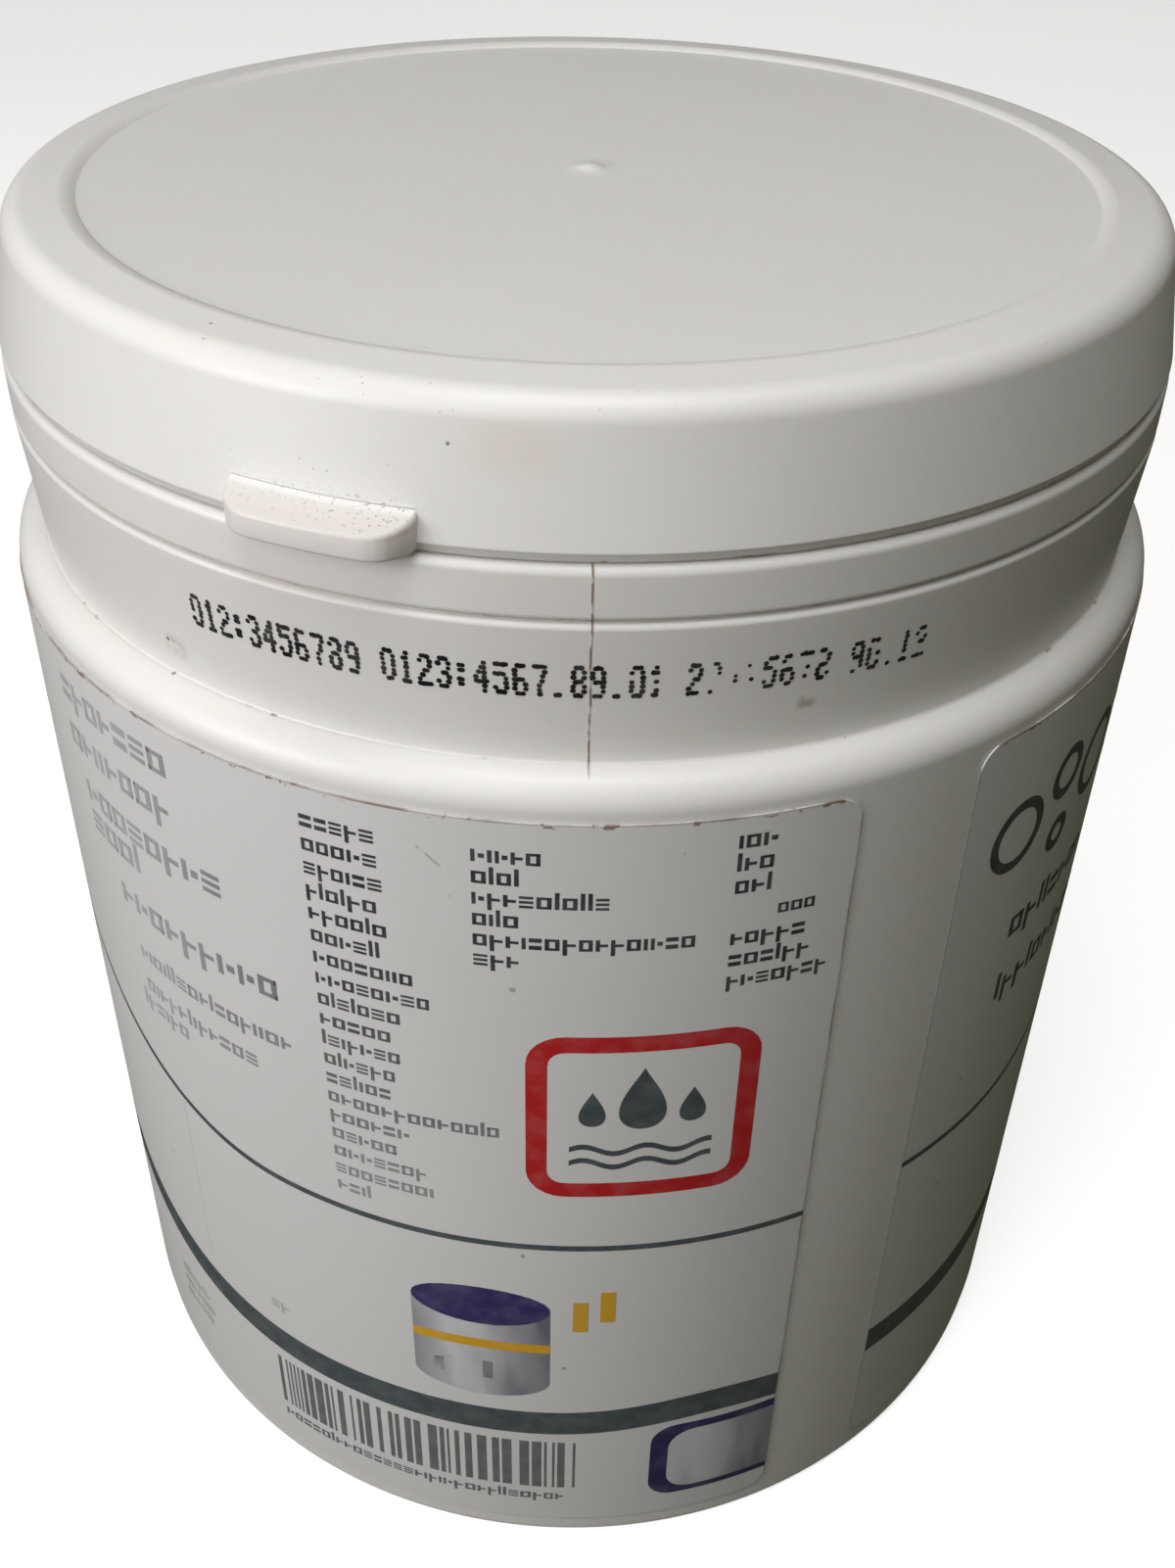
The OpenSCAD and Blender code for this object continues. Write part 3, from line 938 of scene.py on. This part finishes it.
def ink_code():
    """Rows of ink dots round the neck, rubbed away towards the right"""
    rng = random.Random(15)
    bm = bmesh.new()
    for place, sign in enumerate(CODE_TEXT):
        worn = 0.03 if place < 25 else 0.10 + 0.5 * (place - 25) / len(CODE_TEXT)
        if place in (29, 30, 31):
            worn = 0.75
        for row, line in enumerate(DIGITS[sign].split()):
            for column, dot in enumerate(line):
                if dot == "." or rng.random() < worn:
                    continue
                x = along(CODE_START) + place * CODE_PITCH + column * DOT_X
                z = CODE_Z + (6 - row) * DOT_Z
                disc(bm, x + rng.uniform(-0.04, 0.04), z + rng.uniform(-0.04, 0.04),
                     DOT_R * rng.uniform(0.85, 1.1) * (1 - 0.3 * worn), 10)
    bent(bm, lambda z: lower_band_radius(z) + PRINT_LIFT)
    finished(outward(bm), "ink_code", "tub", ink("black_ink", rgb(16, 17, 20)))


def wrap_film():
    """Silvery film with an indigo end and a yellow tear strip, creased where it is folded"""
    s = Shader("tablet_wrap")
    local = s.node("ShaderNodeAttribute", {"attribute_name": "own_place"}).outputs["Vector"]
    parts = s.node("ShaderNodeSeparateXYZ", None, {"Vector": local}).outputs
    x, y, z = (Value(s, part) for part in parts)
    radius = (x * x + y * y).power(0.5)
    creases = Value(s, s.node("ShaderNodeTexNoise", None, {
        "Vector": local, "Scale": 0.35, "Detail": 4.0}).outputs["Fac"])
    end = near(z, 36.0, 1.2, 0.2)
    strip = near(z, 29.0, 1.0, 0.1)
    colour = s.mix(creases, rgb(176, 178, 186), rgb(214, 216, 222))
    colour = s.mix(end * radius.ramp(3.0, 3.4), colour, rgb(56, 48, 104))
    colour = s.mix(strip, colour, rgb(222, 174, 48))
    s.bump(creases, 0.5, 0.6)
    return s.set(Base_Color=colour, Roughness=creases * 0.2 + 0.22, Metallic=0.35)


def tablets():
    """Each tablet in its film: a round block with softened edges and slightly dished ends"""
    film = wrap_film()
    for node in TABLET_NODES:
        low, high = (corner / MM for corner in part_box(node))
        middle = (low + high) / 2
        radius, height, edge = (high.x - low.x) / 2, high.z - low.z, 1.6
        outline = [(0, 0.5), (3, 0.45), (radius - edge - 1, 0.0)]
        outline += arc(radius - edge, edge, edge, -90, 0, 6)
        outline += arc(radius - edge, height - edge, edge, 0, 90, 6)
        outline += [(radius - edge - 1, height), (3, height - 0.45), (0, height - 0.5)]
        bm = spun(outline, 96)
        local = bm.verts.layers.float_vector.new("own_place")
        for v in bm.verts:
            v[local] = v.co
        bmesh.ops.translate(bm, verts=bm.verts, vec=(middle.x, middle.y, low.z))
        finished(bm, "wrapped_" + node, "tub", film, [node])


def floor():
    """A plain pale floor"""
    bm = bmesh.new()
    bmesh.ops.create_grid(bm, x_segments=1, y_segments=1, size=3.0)
    mesh = bpy.data.meshes.new("floor")
    bm.to_mesh(mesh)
    bm.free()
    piece = bpy.data.objects.new("floor", mesh)
    bpy.context.scene.collection.objects.link(piece)
    s = Shader("floor_paint")
    mesh.materials.append(s.set(Base_Color=s.mix(s.noise(8, 3), rgb(244, 244, 243), rgb(247, 247, 247)),
                                Roughness=0.8, Emission_Color=(1.0, 1.0, 1.0),
                                Emission_Strength=0.65))
    piece.visible_diffuse = False
    piece.visible_glossy = False


def lamp(name, azimuth, elevation, distance, size, power, colour):
    """A square soft light that looks at the middle of the tub"""
    data = bpy.data.lights.new(name, "AREA")
    data.size = size
    data.energy = power
    data.color = colour
    lamp_object = bpy.data.objects.new(name, data)
    bpy.context.scene.collection.objects.link(lamp_object)
    aim = Vector((0, 0, 0.08))
    flat = distance * math.cos(math.radians(elevation))
    place = around(flat, azimuth, distance * math.sin(math.radians(elevation))) + aim
    lamp_object.location = place
    lamp_object.rotation_euler = (aim - place).to_track_quat("-Z", "Y").to_euler()


def lights():
    lamp("window", -56, 20, 0.6, 0.28, 1.78, (1.0, 0.98, 1.0))
    lamp("ceiling", -2, 76, 0.7, 0.40, 2.4, (1.0, 0.99, 1.0))
    lamp("front_fill", -24, 36, 0.6, 0.30, 0.62, (1.0, 0.98, 1.0))
    world = bpy.data.worlds.new("room")
    world.use_nodes = True
    background = world.node_tree.nodes["Background"]
    background.inputs["Color"].default_value = (1.0, 0.97, 0.55, 1.0)
    background.inputs["Strength"].default_value = 0.046
    bpy.context.scene.world = world


# The camera, from the photo's perspective
CAMERA_PLACE = Vector((1.26, -179.22, 208.46)) * MM
CAMERA_PITCH = 36.77
CAMERA_ROLL = 1.36
CAMERA_LENS = 37.69


def camera():
    data = bpy.data.cameras.new("camera")
    data.sensor_width = 36.0
    data.lens = CAMERA_LENS
    data.clip_start = 0.01
    view = bpy.data.objects.new("camera", data)
    bpy.context.scene.collection.objects.link(view)
    turn = (Matrix.Rotation(math.radians(90 - CAMERA_PITCH), 4, "X")
            @ Matrix.Rotation(math.radians(CAMERA_ROLL), 4, "Z"))
    view.matrix_world = Matrix.Translation(CAMERA_PLACE) @ turn
    bpy.context.scene.camera = view


camera()
tub()
lid()
label()
ink_code()
tablets()
floor()
lights()
bpy.context.scene.view_settings.view_transform = "Standard"
